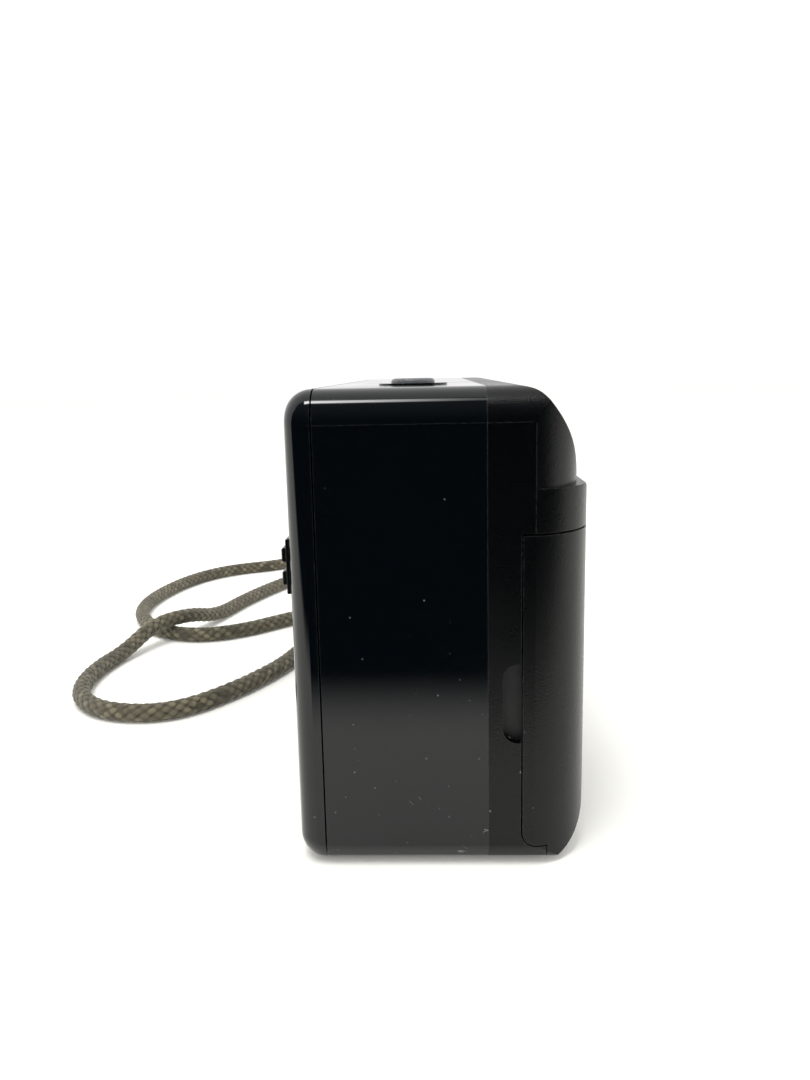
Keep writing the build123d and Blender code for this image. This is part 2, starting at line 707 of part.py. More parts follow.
def shutter_blade_face(side):
    """One shutter blade: half disc on an arm below its pivot."""
    with BuildSketch() as face:
        Circle(5.2)
        with Locations((-side * 0.5, 0)):
            Rectangle(12, 12, align=(Align.MIN if side < 0 else Align.MAX, Align.CENTER), mode=Mode.SUBTRACT)
        Polygon(
            (side * 2.2, shutter_pivot_z), (-side * 0.1, shutter_pivot_z),
            (-side * 0.4, 3.0), (side * 3.5, 3.0), align=None,
        )
        with Locations((side, shutter_pivot_z)):
            Circle(1.2)
            Circle(0.5, mode=Mode.SUBTRACT)
    return face.sketch


left_blade_face = shutter_blade_face(-1)
right_blade_face = shutter_blade_face(1)

with BuildPart() as shutter_blade_left:
    with BuildSketch(Plane(origin=(lens_x, -12.2, lens_z), x_dir=(1, 0, 0), z_dir=(0, -1, 0))):
        add(left_blade_face)
    extrude(amount=0.35)
shutter_blade_left.part.label = "shutter_blade_left"
export_step(shutter_blade_left.part, "parts/shutter_blade_left.step")

with BuildPart() as shutter_blade_right:
    with BuildSketch(Plane(origin=(lens_x, -11.2, lens_z), x_dir=(1, 0, 0), z_dir=(0, -1, 0))):
        add(right_blade_face)
    extrude(amount=0.35)
shutter_blade_right.part.label = "shutter_blade_right"
export_step(shutter_blade_right.part, "parts/shutter_blade_right.step")

with BuildPart() as lens_bezel:
    with BuildSketch(lens_plane):
        with BuildLine():
            Polyline(
                (9.5, panel_y), (12.0, panel_y), (12.0, panel_y - 1.9), (11.4, panel_y - 2.5),
                (10.9, panel_y - 2.5), close=True,
            )
        make_face()
    revolve(axis=lens_axis)
lens_bezel.part.label = "lens_bezel"
export_step(lens_bezel.part, "parts/lens_bezel.step")

with BuildPart() as lens_cover:
    with Locations((lens_x, -19.9, 30.0)):
        Box(21.0, 0.8, 27.0)
lens_cover.part.label = "lens_cover"
export_step(lens_cover.part, "parts/lens_cover.step")

knob_x, knob_z = 15.2, 18.2
with BuildPart() as cover_knob:
    with Locations(Location((knob_x, -21.3, knob_z), (90, 0, 0))):
        Cylinder(1.1, 2.0)
    with Locations((knob_x, panel_y - 1.0, knob_z)):
        Box(9.0, 1.5, 4.6)
    for rib in (-2.4, 0, 2.4):
        with Locations((knob_x + rib, panel_y - 2.0, knob_z)):
            Box(0.9, 0.7, 4.0)
cover_knob.part.label = "cover_knob"
export_step(cover_knob.part, "parts/cover_knob.step")

# ---------------------------------------------------------------- finder, focus and flash
finder_z = 58.0
with BuildPart() as viewfinder_tunnel:
    with Locations((lens_x, -0.25, finder_z)):
        Box(13.5, 29.1, 8.2)
        Box(12.3, 29.1, 7.0, mode=Mode.SUBTRACT)
viewfinder_tunnel.part.label = "viewfinder_tunnel"
export_step(viewfinder_tunnel.part, "parts/viewfinder_tunnel.step")

with BuildPart() as viewfinder_objective:
    with Locations((lens_x, -15.65, finder_z)):
        Box(12.96, 1.3, 6.96)
viewfinder_objective.part.label = "viewfinder_objective"
export_step(viewfinder_objective.part, "parts/viewfinder_objective.step")

with BuildPart() as viewfinder_eyepiece:
    with Locations((lens_x, 15.05, finder_z)):
        Box(13.5, 1.5, 8.2)
viewfinder_eyepiece.part.label = "viewfinder_eyepiece"
export_step(viewfinder_eyepiece.part, "parts/viewfinder_eyepiece.step")

with BuildPart() as focus_window:
    with Locations((30.0, -15.65, finder_z)):
        Box(9.96, 1.3, 6.96)
focus_window.part.label = "focus_window"
export_step(focus_window.part, "parts/focus_window.step")

with BuildPart() as timer_lamp:
    with Locations(Location((0.0, -15.8, finder_z), (90, 0, 0))):
        Cylinder(1.58, 1.6)
timer_lamp.part.label = "timer_lamp"
export_step(timer_lamp.part, "parts/timer_lamp.step")

flash_x, flash_z = 47.6, 59.4
with BuildPart() as flash_window:
    with Locations((flash_x, -15.8, flash_z)):
        Box(19.96, 1.5, 6.36)
flash_window.part.label = "flash_window"
export_step(flash_window.part, "parts/flash_window.step")

with BuildPart() as flash_reflector:
    with BuildSketch(Plane.YZ.offset(flash_x - 9.5)):
        with Locations((-11.45, flash_z)):
            Rectangle(6.9, 6.2)
        with BuildLine():
            bowl = Spline(
                (-14.9, flash_z - 2.6), (-10.5, flash_z - 1.8), (-8.6, flash_z),
                (-10.5, flash_z + 1.8), (-14.9, flash_z + 2.6),
            )
            Line(bowl @ 1, bowl @ 0)
        make_face(mode=Mode.SUBTRACT)
    extrude(amount=19)
flash_reflector.part.label = "flash_reflector"
export_step(flash_reflector.part, "parts/flash_reflector.step")

with BuildPart() as flash_tube:
    with Locations(Location((flash_x, -11.4, flash_z), (0, 90, 0))):
        Cylinder(1.0, 18.0)
flash_tube.part.label = "flash_tube"
export_step(flash_tube.part, "parts/flash_tube.step")

with BuildPart() as flash_capacitor:
    with Locations((-51.0, 3.4, 18.5)):
        Cylinder(6.0, 31.0)
flash_capacitor.part.label = "flash_capacitor"
export_step(flash_capacitor.part, "parts/flash_capacitor.step")

# ---------------------------------------------------------------- controls and electronics
with BuildPart() as main_board:
    with Locations((-25.0, 1.0, 61.2)):
        Box(52.0, 16.6, 0.8)
    for chip_x, chip_width in ((-16.0, 7.0), (-49.0, 4.0)):
        with Locations((chip_x, 1.0, 60.3)):
            Box(chip_width, 6.0, 1.0)
main_board.part.label = "main_board"
export_step(main_board.part, "parts/main_board.step")

with BuildPart() as shutter_switch:
    with Locations((button_x, button_y, 61.8)):
        Cylinder(1.4, 0.4)
shutter_switch.part.label = "shutter_switch"
export_step(shutter_switch.part, "parts/shutter_switch.step")

button_radius = 3.3
with BuildPart() as shutter_button:
    with Locations((button_x, button_y, 64.0)):
        Cylinder(button_radius, 2.95, align=(Align.CENTER, Align.CENTER, Align.MIN))
    fillet(shutter_button.edges().group_by(Axis.Z)[-1], 0.55)
    with Locations((button_x, button_y, 64.4)):
        Cylinder(4.2, 0.8)
    with Locations((button_x, button_y, 63.65)):
        Cylinder(1.2, 0.9)
shutter_button.part.label = "shutter_button"
export_step(shutter_button.part, "parts/shutter_button.step")

with BuildPart() as button_ring:
    with BuildSketch(Plane.XY.offset(65.15)):
        with Locations((button_x, button_y)):
            Circle(5.2)
            Circle(button_radius + 0.1, mode=Mode.SUBTRACT)
    extrude(amount=1.1)
button_ring.part.label = "button_ring"
export_step(button_ring.part, "parts/button_ring.step")

with BuildPart() as button_spring:
    with BuildLine():
        coil = Helix(pitch=0.66, height=1.9, radius=2.1, center=(button_x, button_y, 61.85))
    with BuildSketch(Plane(origin=coil @ 0, z_dir=coil % 0)):
        Circle(0.18)
    sweep()
button_spring.part.label = "button_spring"
export_step(button_spring.part, "parts/button_spring.step")

with BuildPart() as timer_button:
    with Locations((-8.0, 1.0, 64.4)):
        Cylinder(2.2, 1.7, align=(Align.CENTER, Align.CENTER, Align.MIN))
    with Locations((-8.0, 1.0, 63.5)):
        Cylinder(2.9, 0.9, align=(Align.CENTER, Align.CENTER, Align.MIN))
timer_button.part.label = "timer_button"
export_step(timer_button.part, "parts/timer_button.step")

with BuildPart() as counter_window:
    with Locations((4.0, 1.0, 65.3)):
        Box(14.16, 8.16, 1.3)
counter_window.part.label = "counter_window"
export_step(counter_window.part, "parts/counter_window.step")

with BuildPart() as counter_display:
    with Locations((4.0, 1.0, 63.6)):
        Box(13.0, 7.4, 1.3)
counter_display.part.label = "counter_display"
export_step(counter_display.part, "parts/counter_display.step")

with BuildPart() as rewind_button:
    with Locations((20.0, 4.0, 0.25)):
        Cylinder(1.2, 1.9, align=(Align.CENTER, Align.CENTER, Align.MIN))
    with Locations((20.0, 4.0, 1.6)):
        Cylinder(2.0, 0.8, align=(Align.CENTER, Align.CENTER, Align.MIN))
rewind_button.part.label = "rewind_button"
export_step(rewind_button.part, "parts/rewind_button.step")

# ---------------------------------------------------------------- fastenings
socket_radius, socket_depth = 2.55, 5.5
with BuildPart() as tripod_socket:
    Cylinder(3.55, wall, align=(Align.CENTER, Align.CENTER, Align.MIN))
    with Locations((0, 0, wall)):
        Cylinder(5.5, 5.5, align=(Align.CENTER, Align.CENTER, Align.MIN))
    Cylinder(socket_radius, socket_depth, align=(Align.CENTER, Align.CENTER, Align.MIN), mode=Mode.SUBTRACT)
tripod_socket.part.label = "tripod_socket"
export_step(tripod_socket.part, "parts/tripod_socket.step")

with BuildPart() as body_screws:
    for screw_x, screw_y in screw_places:
        with Locations((screw_x, screw_y, 0.05)):
            Cone(1.6, 0.82, 0.78, align=(Align.CENTER, Align.CENTER, Align.MIN))
            Cylinder(0.82, 2.6, align=(Align.CENTER, Align.CENTER, Align.MIN))
            Box(1.9, 0.35, 0.5, align=(Align.CENTER, Align.CENTER, Align.MIN), mode=Mode.SUBTRACT)
            Box(0.35, 1.9, 0.5, align=(Align.CENTER, Align.CENTER, Align.MIN), mode=Mode.SUBTRACT)
body_screws.part.label = "body_screws"
export_step(body_screws.part, "parts/body_screws.step")

with BuildPart() as strap_lug:
    with BuildLine():
        bow = FilletPolyline((60.6, 2, 16), (66.2, 2, 16), (66.2, 2, 24), (60.6, 2, 24), radius=1.8)
    with BuildSketch(Plane(origin=bow @ 0, z_dir=bow % 0)):
        Circle(0.9)
    sweep()
strap_lug.part.label = "strap_lug"
export_step(strap_lug.part, "parts/strap_lug.step")

# ---------------------------------------------------------------- wrist cord
ferrule_x, ferrule_mouth = 71.5, 13.5
exit_z = 2.8
lie_z = cord_radius + 0.02
hump_z = 3 * cord_radius + 0.2
with BuildPart() as cord_ferrule:
    with BuildSketch(Plane.XZ.offset(-4.5)):
        with Locations((ferrule_x, exit_z)):
            SlotOverall(9.0, 5.2)
    extrude(amount=-(ferrule_mouth - 4.5))
    with BuildSketch(Plane.XZ.offset(-ferrule_mouth)):
        for side in (-1, 1):
            with Locations((ferrule_x + side * 1.85, exit_z)):
                Circle(cord_radius)
    extrude(amount=3.0, mode=Mode.SUBTRACT)
    fillet(cord_ferrule.edges().group_by(Axis.Y)[0], 0.8)
cord_ferrule.part.label = "cord_ferrule"
export_step(cord_ferrule.part, "parts/cord_ferrule.step")

keeper_points = [
    (70.6, 4.5, 3.0), (70.6, 2.6, 3.0), (69.4, 3.0, 8.0), (65.4, 3.9, 19.0), (63.7, 2.9, 20.6),
    (63.7, 1.1, 20.6), (65.4, 0.1, 19.0), (71.0, 0.6, 8.0), (72.4, 2.2, 3.0), (72.4, 4.5, 3.0),
]
keeper_radii = [0.9, 3.0, 0.85, 0.85, 0.85, 0.85, 3.0, 0.9]
with BuildPart() as keeper_loop:
    with BuildLine():
        loop = FilletPolyline(*keeper_points, radius=keeper_radii)
    with BuildSketch(Plane(origin=loop @ 0, z_dir=loop % 0)):
        Circle(0.55)
    sweep()
keeper_loop.part.label = "keeper_loop"
export_step(keeper_loop.part, "parts/keeper_loop.step")

# route of the cord, from the ferrule round the loop and back to it
route = [
    (69.65, 13.5, exit_z),
    (69.0, 19.6, 2.2),
    (65.2, 25.0, lie_z),
    (58.5, 28.6, lie_z),
    (50.0, 29.0, lie_z),
    (36.5, 29.4, lie_z),
    (23.6, 32.1, lie_z),
    (14.0, 36.2, lie_z),
    (5.3, 40.9, lie_z),
    (-3.2, 47.2, lie_z),
    (-6.5, 53.4, lie_z),
    (-6.2, 60.5, lie_z),
    (-3.4, 66.7, lie_z),
    (3.0, 72.3, lie_z),
    (12.4, 75.0, lie_z),
    (23.0, 75.1, lie_z),
    (33.5, 73.2, lie_z),
    (44.5, 69.0, hump_z),
    (54.0, 62.5, hump_z),
    (66.5, 58.2, lie_z),
    (84.5, 53.8, lie_z),
    (103.5, 46.5, lie_z),
    (116.5, 39.4, lie_z),
    (126.8, 29.5, lie_z),
    (133.2, 15.1, lie_z),
    (145.3, 12.9, lie_z),
    (154.7, 20.9, lie_z),
    (154.7, 33.1, lie_z),
    (145.0, 41.5, lie_z),
    (132.3, 51.3, lie_z),
    (125.2, 67.8, lie_z),
    (110.7, 77.8, lie_z),
    (88.5, 82.6, lie_z),
    (71.2, 81.6, lie_z),
    (57.6, 75.0, lie_z),
    (49.8, 67.4, lie_z),
    (47.0, 57.2, lie_z),
    (51.5, 47.6, lie_z),
    (60.2, 39.2, lie_z),
    (68.6, 30.6, lie_z),
    (73.6, 21.5, 2.2),
    (73.35, 13.5, exit_z),
]


def corner_radii(points):
    """Arc radius for every inner corner: 0.45 of the shorter run over tan(half turn)."""
    radii = []
    for before, corner, after in zip(points, points[1:], points[2:]):
        arriving = Vector(corner) - Vector(before)
        leaving = Vector(after) - Vector(corner)
        half_turn = math.radians(arriving.get_angle(leaving)) / 2
        radii.append(0.45 * min(arriving.length, leaving.length) / math.tan(half_turn))
    return radii


bends = corner_radii(route)
with BuildPart() as wrist_cord:
    with BuildLine() as cord_path:
        FilletPolyline(*route, radius=bends)
    path = cord_path.wire()
    with BuildSketch(Plane(origin=path @ 0, z_dir=path % 0)):
        Circle(cord_radius)
    sweep()
wrist_cord.part.label = "wrist_cord"
export_step(wrist_cord.part, "parts/wrist_cord.step")

print("cord radii", [round(radius, 1) for radius in bends])
print("cord length", round(path.length, 1), "volume share",
      round(wrist_cord.part.volume / (math.pi * cord_radius ** 2 * path.length), 4))
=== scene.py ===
"""A compact film camera with its wrist cord: finishes, braided cord and studio around the packed part."""

from math import cos, pi, radians, sin

import bpy
import numpy as np
from bpy.props import FloatProperty, FloatVectorProperty, IntProperty, PointerProperty
from mathutils import Matrix, Vector


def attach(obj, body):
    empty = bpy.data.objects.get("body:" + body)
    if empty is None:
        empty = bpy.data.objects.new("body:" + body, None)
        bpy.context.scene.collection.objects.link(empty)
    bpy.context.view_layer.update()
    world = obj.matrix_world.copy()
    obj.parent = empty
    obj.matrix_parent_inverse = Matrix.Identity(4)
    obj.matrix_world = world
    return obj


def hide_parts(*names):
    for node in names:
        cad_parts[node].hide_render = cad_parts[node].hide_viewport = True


bl_info = {
    "name": "Compact Film Camera",
    "version": (1, 0, 0),
    "blender": (4, 5, 0),
    "location": "View3D > Sidebar > Film Camera",
    "description": "Finishes, wrist cord and studio for a compact film camera",
    "category": "Object",
}

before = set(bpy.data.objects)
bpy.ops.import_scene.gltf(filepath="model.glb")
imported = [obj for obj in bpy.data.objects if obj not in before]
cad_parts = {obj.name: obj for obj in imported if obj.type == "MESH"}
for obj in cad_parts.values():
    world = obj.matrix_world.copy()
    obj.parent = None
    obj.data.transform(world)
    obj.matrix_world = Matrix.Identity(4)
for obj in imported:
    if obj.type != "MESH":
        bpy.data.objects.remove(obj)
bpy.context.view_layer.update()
MM = 0.001

# ---------------------------------------------------------------- the cord's route

LIE, LOW, EXIT, HUMP = 1.86, 2.2, 2.8, 5.72
CORD_ROUTE = (
    (69.65, 13.5, EXIT), (69.0, 19.6, LOW), (65.2, 25.0, LIE), (58.5, 28.6, LIE),
    (50.0, 29.0, LIE), (36.5, 29.4, LIE), (23.6, 32.1, LIE), (14.0, 36.2, LIE),
    (5.3, 40.9, LIE), (-3.2, 47.2, LIE), (-6.5, 53.4, LIE), (-6.2, 60.5, LIE),
    (-3.4, 66.7, LIE), (3.0, 72.3, LIE), (12.4, 75.0, LIE), (23.0, 75.1, LIE),
    (33.5, 73.2, LIE), (44.5, 69.0, HUMP), (54.0, 62.5, HUMP), (66.5, 58.2, LIE),
    (84.5, 53.8, LIE), (103.5, 46.5, LIE), (116.5, 39.4, LIE), (126.8, 29.5, LIE),
    (133.2, 15.1, LIE), (145.3, 12.9, LIE), (154.7, 20.9, LIE), (154.7, 33.1, LIE),
    (145.0, 41.5, LIE), (132.3, 51.3, LIE), (125.2, 67.8, LIE), (110.7, 77.8, LIE),
    (88.5, 82.6, LIE), (71.2, 81.6, LIE), (57.6, 75.0, LIE), (49.8, 67.4, LIE),
    (47.0, 57.2, LIE), (51.5, 47.6, LIE), (60.2, 39.2, LIE), (68.6, 30.6, LIE),
    (73.6, 21.5, LOW), (73.35, 13.5, EXIT),
)


# ---------------------------------------------------------------- values a user would change


class CordSettings(bpy.types.PropertyGroup):
    """Sizes and colours of the braided wrist cord."""

    diameter: FloatProperty(
        name="Diameter", description="Thickness of the cord over its strands",
        default=3.68 * MM, min=1 * MM, max=8 * MM, subtype="DISTANCE", unit="LENGTH",
    )
    strands: IntProperty(
        name="Strands", description="Strands that lean each way round the cord", default=6, min=3, max=16,
    )
    stitch: FloatProperty(
        name="Stitch", description="Length along the cord of one crossing of two strands",
        default=2.45 * MM, min=0.5 * MM, max=6 * MM, subtype="DISTANCE", unit="LENGTH",
    )
    relief: FloatProperty(
        name="Relief", description="How far a strand stands out, as a share of the radius",
        default=0.24, min=0.0, max=0.5, subtype="FACTOR",
    )
    yarn: FloatVectorProperty(
        name="Yarn", description="Colour of the top of the strands",
        default=(0.140, 0.124, 0.082), size=3, min=0.0, max=1.0, subtype="COLOR",
    )
    # Painted shade: this colour stands for the shade down between the strands.
    gap: FloatVectorProperty(
        name="Gap", description="Colour down between the strands",
        default=(0.016, 0.014, 0.008), size=3, min=0.0, max=1.0, subtype="COLOR",
    )


class FinishSettings(bpy.types.PropertyGroup):
    """Colours and wear of the mouldings."""

    gloss: FloatVectorProperty(
        name="Gloss Plastic", description="Colour of the polished casing and back door",
        default=(0.0008, 0.0016, 0.0024), size=3, min=0.0, max=1.0, subtype="COLOR",
    )
    matte: FloatVectorProperty(
        name="Matte Plastic", description="Colour of the grained front cover and battery door",
        default=(0.0008, 0.0012, 0.0015), size=3, min=0.0, max=1.0, subtype="COLOR",
    )
    dust: FloatProperty(
        name="Dust", description="Share of places that hold a speck of dust",
        default=0.10, min=0.0, max=1.0, subtype="FACTOR",
    )
    grain: FloatProperty(
        name="Grain", description="Size of one pit of the spark-eroded grain",
        default=0.22 * MM, min=0.05 * MM, max=1 * MM, subtype="DISTANCE", unit="LENGTH",
    )


class StudioSettings(bpy.types.PropertyGroup):
    """The viewpoint and the light."""

    eye: FloatVectorProperty(
        name="Viewpoint", description="Where the viewing camera stands",
        default=(-0.17508, -0.00334, 0.06819), size=3, subtype="TRANSLATION", unit="LENGTH",
    )
    pitch: FloatProperty(
        name="Pitch", description="How far the view tips down", default=radians(10.693), subtype="ANGLE",
    )
    yaw: FloatProperty(
        name="Yaw", description="How far the view turns from straight along X",
        default=radians(2.038), subtype="ANGLE",
    )
    roll: FloatProperty(
        name="Roll", description="How far the view leans", default=radians(-1.1666), subtype="ANGLE",
    )
    lens: FloatProperty(
        name="Lens", description="Focal length in millimetres on a sensor 36 mm on its long side",
        default=30.0, min=10.0, max=200.0,
    )
    sky: FloatProperty(
        name="Sky", description="Strength of the white surround", default=1.05, min=0.0, max=5.0,
    )
    lamp: FloatProperty(
        name="Lamp", description="Power of the overhead softbox", default=3.0, min=0.0, max=50.0,
        subtype="POWER", unit="POWER",
    )


# ---------------------------------------------------------------- small helpers for node trees


class Wiring:
    """Lays nodes into one node tree and joins their sockets."""

    def __init__(self, tree):
        self.tree = tree

    def feed(self, socket, value):
        if isinstance(value, bpy.types.NodeSocket):
            self.tree.links.new(value, socket)
        elif socket.type == "RGBA" and len(value) == 3:
            socket.default_value = (*value, 1.0)
        else:
            socket.default_value = value

    def add(self, kind, inputs=None, **settings):
        node = self.tree.nodes.new(kind)
        for name, value in settings.items():
            setattr(node, name, value)
        for name, value in (inputs or {}).items():
            self.feed(node.inputs[name], value)
        return node

    def maths(self, operation, *values):
        return self.add("ShaderNodeMath", dict(enumerate(values)), operation=operation).outputs[0]

    def vector(self, operation, *values):
        node = self.add("ShaderNodeVectorMath", dict(enumerate(values)), operation=operation)
        return node.outputs["Value" if operation == "DOT_PRODUCT" else "Vector"]

    def band(self, value, low, high, start=0.0, end=1.0):
        """Value runs from start at low to end at high, smoothly, and stays there outside."""
        inputs = {"Value": value, "From Min": low, "From Max": high, "To Min": start, "To Max": end}
        return self.add("ShaderNodeMapRange", inputs, interpolation_type="SMOOTHSTEP").outputs["Result"]

    def blend(self, share, first, second):
        """A colour that runs from first to second with share."""
        node = self.add("ShaderNodeMix", {0: share, 6: first, 7: second}, data_type="RGBA")
        return node.outputs[2]

    def blend_value(self, share, first, second):
        """A number that runs from first to second with share."""
        node = self.add("ShaderNodeMix", {0: share, 2: first, 3: second}, data_type="FLOAT")
        return node.outputs[0]

    def noise(self, vector, scale, detail=2.0, roughness=0.5, distortion=0.0):
        inputs = {"Vector": vector, "Scale": scale, "Detail": detail,
                  "Roughness": roughness, "Distortion": distortion}
        return self.add("ShaderNodeTexNoise", inputs).outputs["Fac"]

    def place(self, scale=(1, 1, 1)):
        """The piece's own coordinates in metres, stretched by scale."""
        coordinates = self.add("ShaderNodeTexCoord").outputs["Object"]
        inputs = {"Vector": coordinates, "Scale": scale}
        return self.add("ShaderNodeMapping", inputs).outputs["Vector"]

    def group(self, name, **inputs):
        node = self.add("ShaderNodeGroup", node_tree=bpy.data.node_groups[name])
        for key, value in inputs.items():
            self.feed(node.inputs[key.replace("_", " ").capitalize()], value)
        return node.outputs


SOCKETS = {"float": "NodeSocketFloat", "vector": "NodeSocketVector"}


def new_effect(name, inputs, outputs):
    """An empty shader node group with those named sockets, and its input and output nodes."""
    tree = bpy.data.node_groups.new(name, "ShaderNodeTree")
    for socket, kind, value in inputs:
        made = tree.interface.new_socket(name=socket, in_out="INPUT", socket_type=SOCKETS[kind])
        if value is not None:
            made.default_value = value
    for socket in outputs:
        tree.interface.new_socket(name=socket, in_out="OUTPUT", socket_type="NodeSocketFloat")
    w = Wiring(tree)
    return w, w.add("NodeGroupInput").outputs, w.add("NodeGroupOutput").inputs


def make_grain_effect():
    """Spark-eroded grain: shallow rounded pits over fine noise."""
    w, given, out = new_effect(
        "moulded_grain", [("Vector", "vector", None), ("Scale", "float", 4500.0)], ["Height", "Pit shade"]
    )
    pits = w.add("ShaderNodeTexVoronoi", {"Vector": given["Vector"], "Scale": given["Scale"]},
                 feature="SMOOTH_F1").outputs["Distance"]
    fine = w.noise(given["Vector"], given["Scale"], 3.0, 0.6)
    height = w.maths("ADD", w.maths("MULTIPLY", pits, 0.6), w.maths("MULTIPLY", fine, 0.7))
    w.feed(out["Height"], height)
    w.feed(out["Pit shade"], w.band(height, 0.35, 0.85))


SPECK_RAGGEDNESS = 0.22 * MM
SMALLEST_SPECK = 0.012


def make_dust_effect():
    """Separate specks of dust: a ragged spot in some of the cells of a random lattice."""
    inputs = [("Vector", "vector", None), ("Scale", "float", 700.0),
              ("Share", "float", 0.3), ("Size", "float", 0.10)]
    w, given, out = new_effect("settled_dust", inputs, ["Mask"])
    wobble = w.add("ShaderNodeTexNoise", {"Vector": given["Vector"], "Scale": 6000.0}).outputs["Color"]
    shift = w.add("ShaderNodeVectorMath", {0: wobble, "Scale": SPECK_RAGGEDNESS}, operation="SCALE")
    cells = w.add("ShaderNodeTexVoronoi",
                  {"Vector": w.vector("ADD", given["Vector"], shift.outputs["Vector"]),
                   "Scale": given["Scale"]})
    tint = w.add("ShaderNodeSeparateColor", {"Color": cells.outputs["Color"]}).outputs
    picked = w.maths("LESS_THAN", tint["Red"], given["Share"])
    reach = w.maths("MULTIPLY", given["Size"], w.maths("MULTIPLY", tint["Green"], tint["Green"]))
    inside = w.maths("GREATER_THAN", w.maths("ADD", reach, SMALLEST_SPECK), cells.outputs["Distance"])
    faint = w.band(tint["Blue"], 0.0, 1.0, 0.35, 1.0)
    w.feed(out["Mask"], w.maths("MULTIPLY", w.maths("MULTIPLY", picked, inside), faint))


def make_lint_effect():
    """Short curled fibres: thin level lines of a smooth noise, kept only inside a few round patches."""
    inputs = [("Vector", "vector", None), ("Scale", "float", 300.0),
              ("Share", "float", 0.2), ("Width", "float", 0.006)]
    w, given, out = new_effect("lint_fibres", inputs, ["Mask"])
    field = w.noise(given["Vector"], w.maths("MULTIPLY", given["Scale"], 1.6), 0.0, 0.5, 0.6)
    line = w.maths("LESS_THAN", w.maths("ABSOLUTE", w.maths("SUBTRACT", field, 0.5)), given["Width"])
    patches = w.add("ShaderNodeTexVoronoi", {"Vector": given["Vector"], "Scale": given["Scale"]})
    tint = w.add("ShaderNodeSeparateColor", {"Color": patches.outputs["Color"]}).outputs
    picked = w.maths("LESS_THAN", tint["Green"], given["Share"])
    near = w.maths("LESS_THAN", patches.outputs["Distance"], 0.26)
    w.feed(out["Mask"], w.maths("MULTIPLY", line, w.maths("MULTIPLY", picked, near)))


def make_handling_effect():
    """Marks of handling: wide faint smudges, and fine hairlines that lie mostly one way."""
    inputs = [("Vector", "vector", None), ("Smudge scale", "float", 60.0),
              ("Hairline scale", "float", 900.0)]
    w, given, out = new_effect("handling_marks", inputs, ["Smudge", "Hairline"])
    smudge = w.noise(given["Vector"], given["Smudge scale"], 4.0, 0.65, 0.8)
    w.feed(out["Smudge"], w.band(smudge, 0.38, 0.72))
    stretched = w.add("ShaderNodeMapping", {"Vector": given["Vector"], "Rotation": (0.5, 0.3, 0.9),
                                            "Scale": (1.0, 0.06, 0.10)}).outputs["Vector"]
    lines = w.noise(stretched, given["Hairline scale"], 1.0, 0.5, 0.2)
    w.feed(out["Hairline"], w.maths("MULTIPLY", w.band(lines, 0.66, 0.74), w.band(smudge, 0.45, 0.75)))


def make_edge_effect():
    """Rubbed edges: where the surface turns sharply within a small radius."""
    inputs = [("Vector", "vector", None), ("Radius", "float", 0.2 * MM)]
    w, given, out = new_effect("rubbed_edge_and_highlight", inputs, ["Mask"])
    soft = w.add("ShaderNodeBevel", {"Radius": given["Radius"]}, samples=4).outputs["Normal"]
    true = w.add("ShaderNodeNewGeometry").outputs["Normal"]
    turn = w.maths("SUBTRACT", 1.0, w.vector("DOT_PRODUCT", soft, true))
    broken = w.band(w.noise(given["Vector"], 1800.0, 3.0, 0.6), 0.30, 0.62)
    w.feed(out["Mask"], w.maths("MULTIPLY", w.band(turn, 0.02, 0.16), broken))


EFFECTS = (make_grain_effect, make_dust_effect, make_lint_effect, make_handling_effect, make_edge_effect)


# ---------------------------------------------------------------- finishes


def new_material(name, **uniform):
    """A node material with one Principled shader; uniform values sit on the shader's own sockets."""
    material = bpy.data.materials.new(name)
    material.use_nodes = True
    w = Wiring(material.node_tree)
    shader = material.node_tree.nodes["Principled BSDF"]
    for key, value in uniform.items():
        w.feed(shader.inputs[key.replace("_", " ")], value)
    return material, w, shader.inputs


DUST_COLOUR = (0.30, 0.31, 0.30)
LINT_COLOUR = (0.42, 0.41, 0.38)


